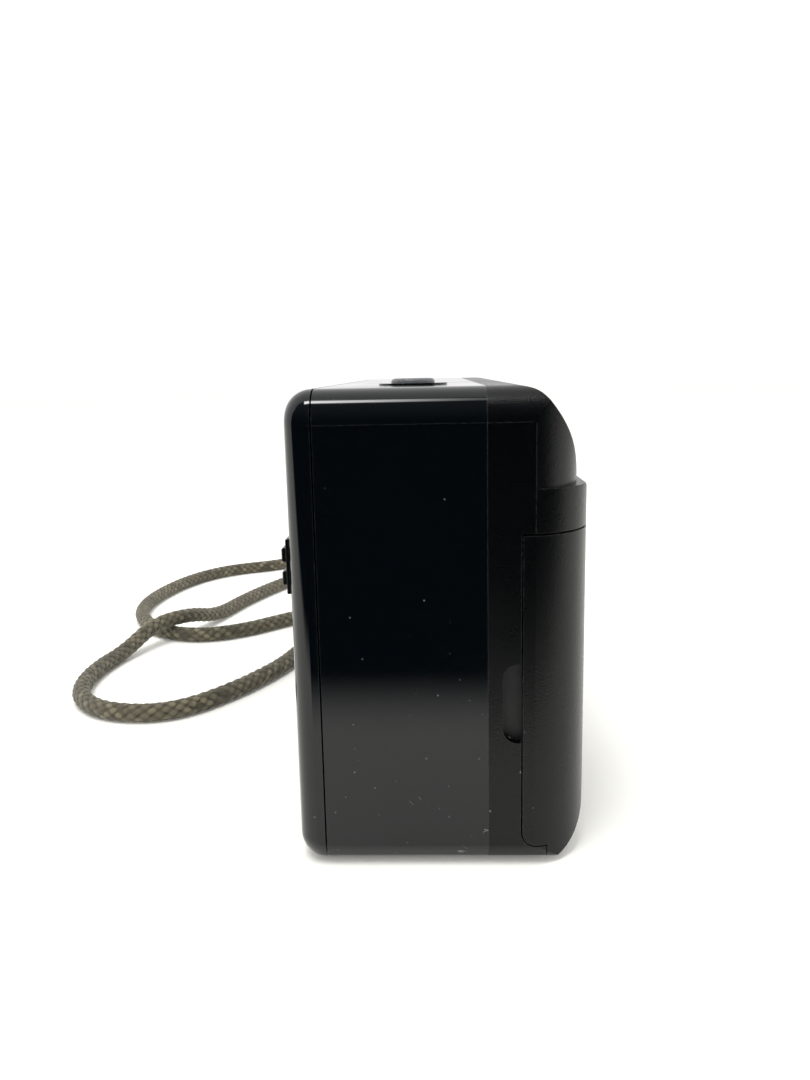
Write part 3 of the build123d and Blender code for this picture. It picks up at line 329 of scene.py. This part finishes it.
def plastic(name, colour, roughness, spread=0.08, grain=4500.0, relief=0.0, dust=0.2, lint=0.0,
            edge=0.0, tone=0.3, low_dust=1.0, **uniform):
    """Moulded plastic: drifting tone, grain, smudges and hairlines in the gloss, dust, lint, rubbed edges."""
    material, w, shader = new_material(name, **uniform)
    place = w.place()
    marks = w.group("handling_marks", vector=place)
    surface = w.group("moulded_grain", vector=place, scale=grain)
    height = w.add("ShaderNodeSeparateXYZ", {"Vector": place}).outputs["Z"]
    low = w.band(height, 0.010, 0.050, low_dust, 1.0)
    specks = w.group("settled_dust", vector=place, share=w.maths("MULTIPLY", low, dust))["Mask"]
    # The colour runs between these two with the grain's pit shade: painted shade, darker in the pits and
    # lighter on the rises.
    darker = [c * (1 - tone) for c in colour]
    lighter = [min(1.0, c * (1 + tone)) for c in colour]
    body = w.blend(surface["Pit shade"], darker, lighter)
    rough = w.maths("ADD", w.maths("MULTIPLY", marks["Smudge"], spread), roughness)
    rough = w.maths("ADD", rough, w.maths("MULTIPLY", marks["Hairline"], 0.12))
    if edge:
        rub_and_highlight = w.maths("MULTIPLY", w.group("rubbed_edge_and_highlight", vector=place)["Mask"], edge)
        # Edges turn lighter: partly rubbed wear, partly a painted edge highlight.
        body = w.blend(rub_and_highlight, body, [min(1.0, c * 3 + 0.05) for c in colour])
        rough = w.maths("ADD", rough, w.maths("MULTIPLY", rub_and_highlight, 0.1))
    if lint:
        near_base = w.band(height, 0.002, 0.012, 1.0, 0.05)
        share = w.maths("MULTIPLY", near_base, lint)
        fibres = w.group("lint_fibres", vector=place, share=share)["Mask"]
        body = w.blend(w.maths("MULTIPLY", fibres, 0.35), body, LINT_COLOUR)
        specks = w.maths("MAXIMUM", specks, w.maths("MULTIPLY", fibres, 0.2))
    w.feed(shader["Base Color"], w.blend(w.maths("MULTIPLY", specks, 0.4), body, DUST_COLOUR))
    w.feed(shader["Roughness"], w.blend_value(specks, rough, 0.75))
    if relief:
        bump = w.add("ShaderNodeBump", {"Height": surface["Height"], "Distance": relief})
        w.feed(shader["Normal"], bump.outputs["Normal"])
    return material


def metal(name, colour, roughness, brush=(1.0, 1.0, 1.0), tarnish=0.25, edge=0.3, **uniform):
    """Bare or plated metal: brushed or turned streaks, cloudy tarnish and brighter rubbed edges."""
    material, w, shader = new_material(name, Metallic=1.0, **uniform)
    place = w.place()
    streaks = w.noise(w.place(scale=brush), 5000.0, 3.0, 0.6)
    cloud = w.group("handling_marks", vector=place, smudge_scale=180.0)["Smudge"]
    dull = [c * (1 - tarnish) for c in colour]
    body = w.blend(cloud, colour, dull)
    rub_and_highlight = w.maths("MULTIPLY", w.group("rubbed_edge_and_highlight", vector=place)["Mask"], edge)
    w.feed(shader["Base Color"], w.blend(rub_and_highlight, body, [min(1.0, c * 1.25) for c in colour]))
    rough = w.maths("ADD", w.maths("MULTIPLY", streaks, 0.22), roughness)
    w.feed(shader["Roughness"], w.maths("ADD", rough, w.maths("MULTIPLY", cloud, 0.12)))
    bump = w.add("ShaderNodeBump", {"Height": streaks, "Distance": 0.00002, "Strength": 0.5})
    w.feed(shader["Normal"], bump.outputs["Normal"])
    return material


def clear(name, colour, roughness=0.02, dust=0.25, **uniform):
    """Glass or clear plastic with a breath of smudge and a few specks of dust."""
    settings = {"Transmission_Weight": 1.0, "IOR": 1.5, **uniform}
    material, w, shader = new_material(name, **settings)
    place = w.place()
    marks = w.group("handling_marks", vector=place)
    specks = w.group("settled_dust", vector=place, share=dust, scale=420.0)["Mask"]
    w.feed(shader["Base Color"], w.blend(w.maths("MULTIPLY", specks, 0.5), colour, DUST_COLOUR))
    w.feed(shader["Roughness"], w.maths("ADD", w.maths("MULTIPLY", marks["Smudge"], 0.04), roughness))
    return material


def circuit_board(name):
    """Solder mask over copper tracks that run in two directions, with tinned pads where they meet."""
    material, w, shader = new_material(name, Specular_IOR_Level=0.5)
    place = w.place()
    tracks = w.add("ShaderNodeTexBrick",
                   {"Vector": place, "Scale": 260.0, "Mortar Size": 0.06, "Brick Width": 1.3,
                    "Row Height": 0.4, "Color1": (0, 0, 0), "Color2": (0, 0, 0), "Mortar": (1, 1, 1)})
    pads = w.add("ShaderNodeTexVoronoi", {"Vector": place, "Scale": 380.0, "Randomness": 0.3})
    pad = w.maths("LESS_THAN", pads.outputs["Distance"], 0.22)
    green = w.blend(tracks.outputs["Color"], (0.010, 0.085, 0.040), (0.030, 0.190, 0.080))
    w.feed(shader["Base Color"], w.blend(pad, green, (0.62, 0.62, 0.60)))
    w.feed(shader["Metallic"], pad)
    w.feed(shader["Roughness"], w.blend_value(pad, 0.35, 0.25))
    bump = w.add("ShaderNodeBump", {"Height": tracks.outputs["Fac"], "Distance": 0.00004})
    w.feed(shader["Normal"], bump.outputs["Normal"])
    return material


def braided_cord(name, settings):
    """Braid: colour from the crown and yarn attributes of the mesh, and threads along each strand."""
    material, w, shader = new_material(name, Sheen_Weight=0.25, Sheen_Roughness=0.5,
                                       Specular_IOR_Level=0.25)
    crown = w.add("ShaderNodeAttribute", attribute_name="crown").outputs["Fac"]
    yarn = w.add("ShaderNodeAttribute", attribute_name="yarn").outputs["Fac"]
    place = w.place()
    across = w.add("ShaderNodeAttribute", attribute_name="across").outputs["Fac"]
    cloud = w.noise(place, 320.0, 3.0, 0.6)
    # Four threads lie side by side in a strand, each a ridge, broken up by loose fibres.
    thread = w.maths("ABSOLUTE", w.maths("SINE", w.maths("MULTIPLY", across, 4 * pi)))
    loose = w.noise(place, 4200.0, 3.0, 0.7)
    fibre = w.maths("ADD", w.maths("MULTIPLY", thread, 0.55), w.maths("MULTIPLY", loose, 0.6))
    # Crown and thread ridges set the colour, which runs down to the gap shade: painted shade between the
    # strands and between the threads.
    level = w.maths("ADD", w.maths("MULTIPLY", fibre, 0.42), w.maths("MULTIPLY", crown, 0.66))
    body = w.blend(w.band(level, 0.30, 0.95), settings.gap, settings.yarn)
    pale = [min(1.0, c * 1.55) for c in settings.yarn]
    body = w.blend(w.maths("MULTIPLY", w.band(yarn, 0.55, 1.0), w.band(crown, 0.5, 0.95)), body, pale)
    dark = [c * 0.35 for c in settings.yarn]
    body = w.blend(w.band(yarn, 0.22, 0.05, 0.0, 0.75), body, dark)
    body = w.blend(w.maths("MULTIPLY", w.band(cloud, 0.45, 0.75), 0.35), body, dark)
    w.feed(shader["Base Color"], body)
    w.feed(shader["Roughness"], w.band(fibre, 0.2, 0.8, 0.75, 0.95))
    bump = w.add("ShaderNodeBump", {"Height": fibre, "Distance": 0.00010, "Strength": 0.8})
    w.feed(shader["Normal"], bump.outputs["Normal"])
    return material


def foam_finish(name):
    """Open-cell foam strip: dark bubbles between matte walls."""
    material, w, shader = new_material(name, Specular_IOR_Level=0.2)
    cells = w.add("ShaderNodeTexVoronoi", {"Vector": w.place(), "Scale": 3200.0}).outputs["Distance"]
    wall = w.band(cells, 0.2, 0.7)
    w.feed(shader["Base Color"], w.blend(wall, (0.012, 0.012, 0.012), (0.05, 0.05, 0.05)))
    w.feed(shader["Roughness"], w.band(cells, 0.0, 1.0, 0.85, 1.0))
    bump = w.add("ShaderNodeBump", {"Height": cells, "Distance": 0.0002})
    w.feed(shader["Normal"], bump.outputs["Normal"])
    return material


def make_finishes(finish):
    """One material for each slot of the record."""
    grain = 1.0 / finish.grain
    gloss, matte, dust = tuple(finish.gloss), tuple(finish.matte), finish.dust
    plastic("gloss_black", gloss, 0.060, 0.05, grain, 0.0, dust, 0.14, 0.35, 0.15, 4.0,
            Specular_IOR_Level=0.42)
    plastic("matte_black", matte, 0.27, 0.05, grain, 0.00003, dust * 0.5, 0.10, 0.5, 0.30, 4.0,
            Specular_IOR_Level=0.26)
    plastic("inner_black", (0.010, 0.010, 0.011), 0.55, 0.12, grain, 0.00002, dust, 0.0, 0.15)
    plastic("gear_plastic", (0.66, 0.64, 0.57), 0.38, 0.10, grain, 0.00001, 0.1)
    plastic("capacitor_sleeve", (0.012, 0.014, 0.035), 0.22, 0.10, grain, 0.00001, 0.15, 0.0, 0.1)
    plastic("cover_black", (0.008, 0.008, 0.009), 0.28, 0.08, grain, 0.000012, dust, 0.0, 0.4)
    plastic("button_grey", (0.11, 0.115, 0.12), 0.30, 0.10, grain, 0.000012, dust, 0.0, 0.35)
    plastic("ring_black", (0.004, 0.004, 0.005), 0.12, 0.06, grain, 0.0, dust, 0.0, 0.3)
    plastic("cell_wrap", (0.075, 0.082, 0.105), 0.24, 0.10, grain, 0.000008, 0.15, 0.0, 0.15)
    plastic("lamp_red", (0.35, 0.012, 0.010), 0.10, 0.06, grain, 0.0, dust)
    metal("steel", (0.56, 0.56, 0.57), 0.22)
    metal("metal_can", (0.62, 0.62, 0.60), 0.26, (1.0, 1.0, 0.05))
    metal("reflector", (0.86, 0.86, 0.87), 0.08)
    metal("trim_metal", (0.20, 0.20, 0.21), 0.24)
    metal("brass", (0.72, 0.56, 0.27), 0.20, (1.0, 1.0, 12.0))
    clear("glass", (0.97, 0.99, 0.98))
    clear("smoked", (0.10, 0.085, 0.09))
    foam_finish("foam")
    circuit_board("board_green")


def finish_node(name):
    """Puts the finish of its own slot on a packed node."""
    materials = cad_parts[name].data.materials
    for index in range(len(materials)):
        materials[index] = bpy.data.materials[SLOT_OF[name]]


SLOT_OF = {name: node.data.materials[0].name.split(".")[0] for name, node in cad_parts.items()}
for imported in list(bpy.data.materials):
    imported.name = "packed_" + imported.name


# ---------------------------------------------------------------- surfaces on a grid


def tube_mesh(name, points, attributes):
    """A mesh from an array of rings, shape (rings, sides, 3).

    Face (i, j) joins points i, j and i + 1, j + 1. Each ring closes on itself, and each end has a
    cap, a fan from the middle of its ring. Attributes hold one number for each point."""
    rings, sides, _ = points.shape
    i, j = np.meshgrid(np.arange(rings - 1), np.arange(sides), indexing="ij")
    k = (j + 1) % sides
    quads = np.stack([i * sides + j, i * sides + k, (i + 1) * sides + k, (i + 1) * sides + j], -1)
    first, last, tail = rings * sides, rings * sides + 1, (rings - 1) * sides
    vertices = np.vstack([points.reshape(-1, 3), points[0].mean(0), points[-1].mean(0)])
    around = np.arange(sides)
    after = (around + 1) % sides
    faces = quads.reshape(-1, 4).tolist()
    faces += np.stack([np.full(sides, first), after, around], -1).tolist()
    faces += np.stack([np.full(sides, last), tail + around, tail + after], -1).tolist()
    mesh = bpy.data.meshes.new(name)
    mesh.from_pydata(vertices.tolist(), [], faces)
    for key, values in attributes.items():
        padded = np.concatenate([values.ravel(), np.zeros(len(vertices) - values.size)])
        mesh.attributes.new(key, "FLOAT", "POINT").data.foreach_set("value", padded.astype(np.float32))
    mesh.shade_smooth()
    mesh.validate()
    piece = bpy.data.objects.new(name, mesh)
    bpy.context.scene.collection.objects.link(piece)
    return piece


def route_line():
    """Points read from the smooth spline of the cord's route, in metres."""
    curve = bpy.data.curves.new("cord_route", "CURVE")
    curve.dimensions = "3D"
    curve.resolution_u = 48
    spline = curve.splines.new("NURBS")
    spline.points.add(len(CORD_ROUTE) - 1)
    route = np.array(CORD_ROUTE) * MM
    spline.points.foreach_set("co", np.hstack([route, np.ones((len(route), 1))]).ravel())
    spline.order_u = 3
    spline.use_endpoint_u = True
    holder = bpy.data.objects.new("cord_route", curve)
    mesh = bpy.data.meshes.new_from_object(holder)
    line = np.empty(len(mesh.vertices) * 3)
    mesh.vertices.foreach_get("co", line)
    bpy.data.objects.remove(holder)
    bpy.data.curves.remove(curve)
    bpy.data.meshes.remove(mesh)
    return line.reshape(-1, 3)


CORD_SIDES = 48
RING_STEP = 0.27 * MM


def even_stations(line, step):
    """Points at equal distances along a line, about a step apart, with their distances along it."""
    steps = np.linalg.norm(np.diff(line, axis=0), axis=1)
    run = np.concatenate([[0.0], np.cumsum(steps)])
    wanted = np.linspace(0, run[-1], 2 + int(round(run[-1] / step)))
    return np.stack([np.interp(wanted, run, line[:, axis]) for axis in range(3)], 1), wanted


def braid(line, settings):
    """A braided tube along a line.

    Strand coordinates: a = n t / 2 pi - s / p and b = n t / 2 pi + s / p, with t the angle round the
    cord, s the distance along it, n strands each way and p the stitch. In each crossing the strand
    on top alternates with the parity of floor(a) + floor(b). The surface stands out by the crown,
    a half-round across the top strand times a low arch along it."""
    centre, s = even_stations(line, RING_STEP)
    along = np.gradient(centre, axis=0)
    along /= np.linalg.norm(along, axis=1, keepdims=True)
    side = np.cross(along, (0.0, 0.0, 1.0))
    side /= np.linalg.norm(side, axis=1, keepdims=True)
    up = np.cross(side, along)
    t = np.arange(CORD_SIDES) * 2 * pi / CORD_SIDES
    ring, turn = np.meshgrid(s, t, indexing="ij")
    a = settings.strands * turn / (2 * pi) - ring / settings.stitch
    b = settings.strands * turn / (2 * pi) + ring / settings.stitch
    over = (np.floor(a + 1e-6) + np.floor(b + 1e-6)) % 2 < 0.5
    across = np.where(over, a, b) % 1.0
    length = np.where(over, b, a) % 1.0
    crown = np.clip(np.sin(pi * across), 0, 1) ** 0.4 * (0.62 + 0.38 * np.sin(pi * length))
    strands = settings.strands
    strand = np.where(over, np.floor(a) % strands, strands + np.floor(b) % strands)
    shade = np.random.default_rng(7).random(4096)
    stretch = np.floor(ring / (5 * settings.stitch)).astype(int)
    yarn = shade[(stretch * 31 + strand.astype(int) * 7) % len(shade)]
    radius = 0.5 * settings.diameter * (1.04 - settings.relief * (1 - crown))
    points = centre[:, None] + radius[..., None] * (
        np.cos(turn)[..., None] * side[:, None] + np.sin(turn)[..., None] * up[:, None]
    )
    return tube_mesh("braided_wrist_cord", points, {"crown": crown, "yarn": yarn, "across": across})


# ---------------------------------------------------------------- operators


class FILMCAMERA_OT_viewpoint(bpy.types.Operator):
    """Stand the viewing camera in front of the grip end"""

    bl_idname = "film_camera.viewpoint"
    bl_label = "Viewpoint"

    def execute(self, context):
        studio = context.scene.film_studio
        data = bpy.data.cameras.new("viewpoint")
        data.lens = studio.lens
        data.sensor_width = 36.0
        data.sensor_fit = "AUTO"
        data.clip_start = 0.005
        data.clip_end = 20.0
        camera = bpy.data.objects.new("viewpoint", data)
        context.scene.collection.objects.link(camera)
        level = Vector((cos(studio.yaw), sin(studio.yaw), 0.0))
        forward = level * cos(studio.pitch) - Vector((0, 0, sin(studio.pitch)))
        right = Vector((sin(studio.yaw), -cos(studio.yaw), 0.0))
        up = right.cross(forward)
        across = right * cos(studio.roll) + up * sin(studio.roll)
        upright = up * cos(studio.roll) - right * sin(studio.roll)
        turn = Matrix((across, upright, -forward)).transposed().to_4x4()
        camera.matrix_world = Matrix.Translation(studio.eye) @ turn
        context.scene.camera = camera
        return {"FINISHED"}


class FILMCAMERA_OT_wrist_cord(bpy.types.Operator):
    """Lay the braided wrist cord along its route and finish its ferrule and keeper loop"""

    bl_idname = "film_camera.wrist_cord"
    bl_label = "Wrist Cord"

    def execute(self, context):
        settings = context.scene.film_cord
        line = route_line()
        piece = braid(line, settings)
        piece.data.materials.append(braided_cord("cord_braid", settings))
        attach(piece, "camera")
        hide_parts("wrist_cord")
        finish_node("cord_ferrule")
        finish_node("keeper_loop")
        finish_node("strap_lug")
        return {"FINISHED"}


CASING = ("body_shell", "back_door", "back_door_pin", "door_latch", "film_window", "light_seal",
          "pressure_plate", "pressure_spring", "body_screws", "tripod_socket")
FRONT = ("front_cover", "battery_door", "battery_door_pin", "battery_pack", "battery_box",
         "battery_contacts", "lens_bezel", "lens_cover", "cover_knob")
CONTROLS = ("button_ring", "shutter_button", "button_spring", "shutter_switch", "timer_button",
            "rewind_button", "counter_window", "counter_display", "main_board", "flash_capacitor")
OPTICS = ("lens_mount", "lens_barrel", "front_element", "rear_element", "shutter_blade_left",
          "shutter_blade_right", "light_box", "viewfinder_tunnel", "viewfinder_objective",
          "viewfinder_eyepiece", "focus_window", "timer_lamp", "flash_window", "flash_reflector",
          "flash_tube")
TRANSPORT = ("film_frame", "cassette_chamber", "takeup_chamber", "takeup_spool", "film_sprocket",
             "rewind_fork", "wind_motor", "motor_pinion", "idler_gear", "gear_plate")


def finish_operator(group, label, text, names):
    """An operator class that finishes one group of packed nodes."""

    def execute(self, context):
        for name in names:
            finish_node(name)
        return {"FINISHED"}

    members = {"bl_idname": f"film_camera.{group}", "bl_label": label, "__doc__": text,
               "execute": execute}
    return type(f"FILMCAMERA_OT_{group}", (bpy.types.Operator,), members)


class FILMCAMERA_OT_finishes(bpy.types.Operator):
    """Build the shared effects and the material of each finish"""

    bl_idname = "film_camera.finishes"
    bl_label = "Finishes"

    def execute(self, context):
        for effect in EFFECTS:
            effect()
        make_finishes(context.scene.film_finish)
        return {"FINISHED"}


FILMCAMERA_OT_casing = finish_operator(
    "casing", "Casing", "Finish the polished casing and back door", CASING)
FILMCAMERA_OT_front = finish_operator(
    "front", "Front", "Finish the grained front and battery door", FRONT)
FILMCAMERA_OT_controls = finish_operator(
    "controls", "Controls", "Finish the buttons and electronics", CONTROLS)
FILMCAMERA_OT_optics = finish_operator(
    "optics", "Optics", "Finish the lens, shutter, finder and flash", OPTICS)
FILMCAMERA_OT_transport = finish_operator(
    "transport", "Transport", "Finish the film transport", TRANSPORT)


ROOM_REACH = 0.95
ROOM_SPREAD = radians(77)
SOFTBOX_X, SOFTBOX_HEIGHT = -0.19, 0.72
SOFTBOX_HALF_WIDTH = 0.09
LAMP_STAND, LAMP_AIM = Vector((-0.20, 0.10, 0.70)), Vector((-0.03, 0.0, 0.04))
LAMP_SIZE = (0.25, 0.40)
WARM_WHITE = (1.0, 0.995, 0.98)
TABLE_COLOUR = (0.90, 0.895, 0.855)
# The dim room and the softbox's face are seen only as reflections.
UNSEEN = ("camera", "diffuse", "transmission", "volume_scatter", "shadow")


def table_material(name):
    """Pale table top, lit a little from within so that it reads as overexposed."""
    material, w, shader = new_material(name, Roughness=0.9, Specular_IOR_Level=0.1)
    shade = w.noise(w.place(), 9.0, 3.0, 0.6)
    w.feed(shader["Base Color"], w.blend(shade, [c * 0.985 for c in TABLE_COLOUR], TABLE_COLOUR))
    w.feed(shader["Emission Color"], TABLE_COLOUR)
    w.feed(shader["Emission Strength"], 0.12)
    return material


def room_material(name):
    """Dim room behind the viewer: near-black at eye height, grey overhead, clear over the near table."""
    material, w, shader = new_material(name, Specular_IOR_Level=0.0, Base_Color=(0, 0, 0),
                                       Roughness=1.0)
    where = w.add("ShaderNodeSeparateXYZ", {"Vector": w.place()}).outputs
    dim = w.blend(w.band(where["Z"], 0.10, ROOM_REACH), (0.006, 0.012, 0.018), (0.15, 0.16, 0.17))
    w.feed(shader["Emission Color"], dim)
    w.feed(shader["Emission Strength"], 1.0)
    w.feed(shader["Alpha"], w.band(where["X"], -0.103, -0.142))
    return material


def softbox_material(name):
    """Overhead light, full at its far side along Y and fading to its near side."""
    material, w, shader = new_material(name, Specular_IOR_Level=0.0, Base_Color=(0, 0, 0),
                                       Roughness=1.0)
    where = w.add("ShaderNodeSeparateXYZ", {"Vector": w.place()}).outputs
    fade = w.band(where["Y"], -0.06, 0.16)
    edge = w.band(w.maths("ABSOLUTE", w.maths("SUBTRACT", where["X"], SOFTBOX_X)), 0.085, 0.03)
    glow = w.maths("MULTIPLY", w.maths("ADD", w.maths("MULTIPLY", fade, 0.93), 0.07), edge)
    w.feed(shader["Emission Color"], w.blend(glow, (0, 0, 0), WARM_WHITE))
    w.feed(shader["Emission Strength"], 24.0)
    return material


def stage_surface(name, x, y, z, material, hidden=()):
    """A stage mesh over a grid of points, faces joining neighbours; hidden lists rays that miss it."""
    rows, columns = x.shape
    i, j = np.meshgrid(np.arange(rows - 1), np.arange(columns - 1), indexing="ij")
    corner = i * columns + j
    quads = np.stack([corner, corner + 1, corner + columns + 1, corner + columns], -1).reshape(-1, 4)
    mesh = bpy.data.meshes.new(name)
    mesh.from_pydata(np.stack([x, y, z], -1).reshape(-1, 3).tolist(), [], quads.tolist())
    mesh.materials.append(material)
    piece = bpy.data.objects.new(name, mesh)
    bpy.context.scene.collection.objects.link(piece)
    for ray in hidden:
        setattr(piece, "visible_" + ray, False)


class FILMCAMERA_OT_studio(bpy.types.Operator):
    """Set the pale floor, the white surround, the softbox overhead and the dim room behind the viewer"""

    bl_idname = "film_camera.studio"
    bl_label = "Studio"

    def execute(self, context):
        studio = context.scene.film_studio
        context.scene.view_settings.view_transform = "Standard"
        world = bpy.data.worlds.new("white_surround")
        world.use_nodes = True
        background = world.node_tree.nodes["Background"].inputs
        background["Color"].default_value = (1.0, 1.0, 0.995, 1.0)
        background["Strength"].default_value = studio.sky
        context.scene.world = world
        side = np.linspace(-3.0, 3.0, 5)
        x, y = np.meshgrid(side, side, indexing="ij")
        stage_surface("floor", x, y, 0 * x, table_material("pale_table"))
        room = room_material("dim_room")
        # A dark sheet just over the table, from near the object out to the room's wall: a painted shadow of
        # the viewer on the table, seen only in reflections.
        x, y = np.meshgrid(np.linspace(-1.0, -0.100, 12), np.linspace(-1.2, 1.2, 5), indexing="ij")
        stage_surface("dim_table", x, y, 0 * x + 0.0006, room, UNSEEN)
        # A cap of a sphere round the object: t is the angle from its middle, f the turn round that.
        middle = Vector((-cos(radians(20)), 0.10, sin(radians(20)))).normalized()
        beside = middle.cross(Vector((0, 0, 1))).normalized()
        above = beside.cross(middle)
        t, f = np.meshgrid(np.linspace(0, ROOM_SPREAD, 30), np.linspace(0, 2 * pi, 49), indexing="ij")
        out, across, up = np.cos(t), np.sin(t) * np.cos(f), np.sin(t) * np.sin(f)
        cap = [ROOM_REACH * (out * middle[k] + across * beside[k] + up * above[k]) for k in range(3)]
        stage_surface("dim_room", *cap, room, UNSEEN)
        wide = np.linspace(-SOFTBOX_HALF_WIDTH, SOFTBOX_HALF_WIDTH, 7) + SOFTBOX_X
        x, y = np.meshgrid(wide, np.linspace(-0.20, 0.24, 9), indexing="ij")
        face = softbox_material("softbox_face")
        stage_surface("softbox_face", x, y, 0 * x + SOFTBOX_HEIGHT, face, UNSEEN)
        lamp = bpy.data.lights.new("softbox", "AREA")
        lamp.shape = "RECTANGLE"
        lamp.size, lamp.size_y = LAMP_SIZE
        lamp.energy = studio.lamp
        lamp.color = WARM_WHITE
        softbox = bpy.data.objects.new("softbox", lamp)
        context.scene.collection.objects.link(softbox)
        softbox.visible_glossy = False
        turn = (LAMP_AIM - LAMP_STAND).to_track_quat("-Z", "Y")
        softbox.matrix_world = Matrix.Translation(LAMP_STAND) @ turn.to_matrix().to_4x4()
        return {"FINISHED"}


STEPS = (
    "viewpoint", "finishes", "wrist_cord", "casing", "front", "controls", "optics", "transport", "studio",
)


class FILMCAMERA_PT_panel(bpy.types.Panel):
    """Lists the camera's settings and its building steps"""

    bl_idname = "FILMCAMERA_PT_panel"
    bl_label = "Film Camera"
    bl_space_type = "VIEW_3D"
    bl_region_type = "UI"
    bl_category = "Film Camera"

    def draw(self, context):
        for settings in (context.scene.film_cord, context.scene.film_finish, context.scene.film_studio):
            box = self.layout.box()
            for name in settings.__annotations__:
                box.prop(settings, name)
        for step in STEPS:
            self.layout.operator("film_camera." + step)


SETTINGS = {"film_cord": CordSettings, "film_finish": FinishSettings, "film_studio": StudioSettings}
CLASSES = (
    *SETTINGS.values(), FILMCAMERA_OT_viewpoint, FILMCAMERA_OT_finishes, FILMCAMERA_OT_wrist_cord,
    FILMCAMERA_OT_casing, FILMCAMERA_OT_front, FILMCAMERA_OT_controls, FILMCAMERA_OT_optics,
    FILMCAMERA_OT_transport, FILMCAMERA_OT_studio, FILMCAMERA_PT_panel,
)


def register():
    for cls in CLASSES:
        bpy.utils.register_class(cls)
    for name, group in SETTINGS.items():
        setattr(bpy.types.Scene, name, PointerProperty(type=group))


def unregister():
    for name in SETTINGS:
        delattr(bpy.types.Scene, name)
    for cls in reversed(CLASSES):
        bpy.utils.unregister_class(cls)


def main():
    register()
    for step in STEPS:
        getattr(bpy.ops.film_camera, step)()


if __name__ == "__main__":
    main()
